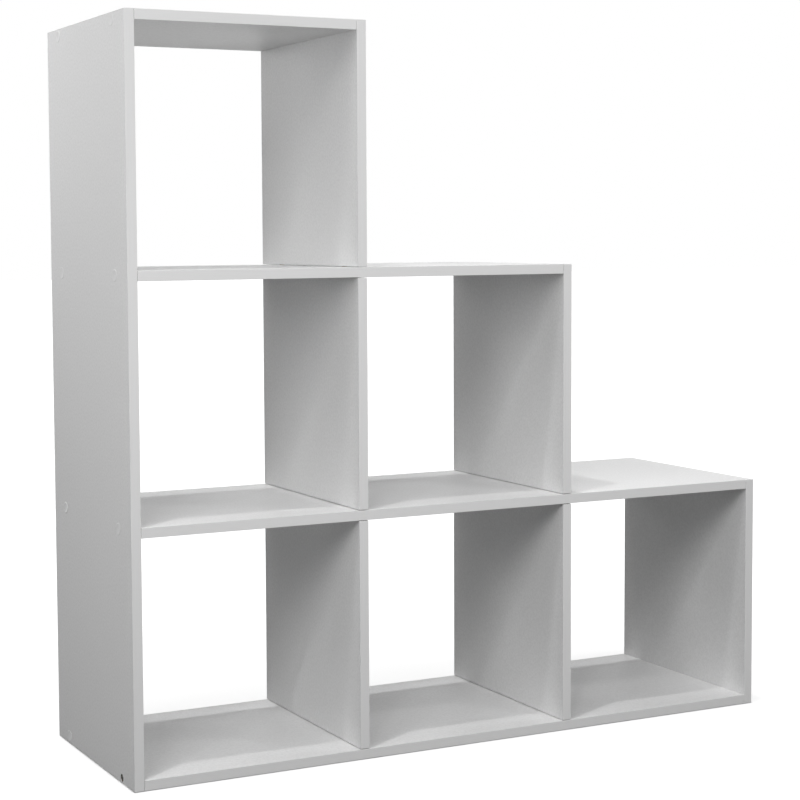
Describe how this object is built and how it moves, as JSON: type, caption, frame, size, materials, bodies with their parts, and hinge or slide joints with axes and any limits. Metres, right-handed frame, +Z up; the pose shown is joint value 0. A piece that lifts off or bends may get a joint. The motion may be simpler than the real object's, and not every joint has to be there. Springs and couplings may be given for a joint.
{
  "type": "stair-step cube shelf",
  "caption": "White melamine cube shelf whose open, backless cells step down like a staircase; flat boards joined by capped screws and wooden dowels.",
  "frame": {"origin": "on the floor, under the middle of the shelf's width and depth", "axes": "+Z up, +X to the right as seen from the front, the front faces -Y"},
  "size_m": [1.0966, 0.345, 1.101],
  "materials": {
    "white_melamine": "white melamine faced chipboard, satin, with white edge bands",
    "blackened_steel": "dull black plating",
    "white_plastic": "smooth moulded plastic",
    "beech": "bare turned wood"
  },
  "bodies": {
    "root": {"left_side_panel": "white_melamine", "right_side_panel": "white_melamine", "middle_side_panel": "white_melamine", "upper_side_panel": "white_melamine", "top_panel": "white_melamine", "upper_shelf": "white_melamine", "lower_shelf": "white_melamine", "bottom_panel": "white_melamine", "middle_divider": "white_melamine", "lower_divider_left": "white_melamine", "lower_divider_right": "white_melamine", "screw_left_bottom_front": "blackened_steel", "screw_left_bottom_rear": "blackened_steel", "screw_left_lower_front": "blackened_steel", "screw_left_lower_rear": "blackened_steel", "screw_left_upper_front": "blackened_steel", "screw_left_upper_rear": "blackened_steel", "screw_left_top_front": "blackened_steel", "screw_left_top_rear": "blackened_steel", "screw_right_bottom_front": "blackened_steel", "screw_right_bottom_rear": "blackened_steel", "screw_right_lower_front": "blackened_steel", "screw_right_lower_rear": "blackened_steel", "screw_middle_upper_front": "blackened_steel", "screw_middle_upper_rear": "blackened_steel", "screw_upper_top_front": "blackened_steel", "screw_upper_top_rear": "blackened_steel", "cap_left_bottom_rear": "white_plastic", "cap_left_lower_front": "white_plastic", "cap_left_lower_rear": "white_plastic", "cap_left_upper_front": "white_plastic", "cap_left_upper_rear": "white_plastic", "cap_left_top_front": "white_plastic", "cap_left_top_rear": "white_plastic", "cap_right_bottom_front": "white_plastic", "cap_right_bottom_rear": "white_plastic", "cap_right_lower_front": "white_plastic", "cap_right_lower_rear": "white_plastic", "cap_middle_upper_front": "white_plastic", "cap_middle_upper_rear": "white_plastic", "cap_upper_top_front": "white_plastic", "cap_upper_top_rear": "white_plastic", "dowel_upper_shelf_front": "beech", "dowel_upper_shelf_rear": "beech", "dowel_lower_shelf_left_front": "beech", "dowel_lower_shelf_left_rear": "beech", "dowel_lower_shelf_right_front": "beech", "dowel_lower_shelf_right_rear": "beech", "dowel_bottom_left_front": "beech", "dowel_bottom_left_rear": "beech", "dowel_bottom_right_front": "beech", "dowel_bottom_right_rear": "beech"}
  },
  "joints": []
}
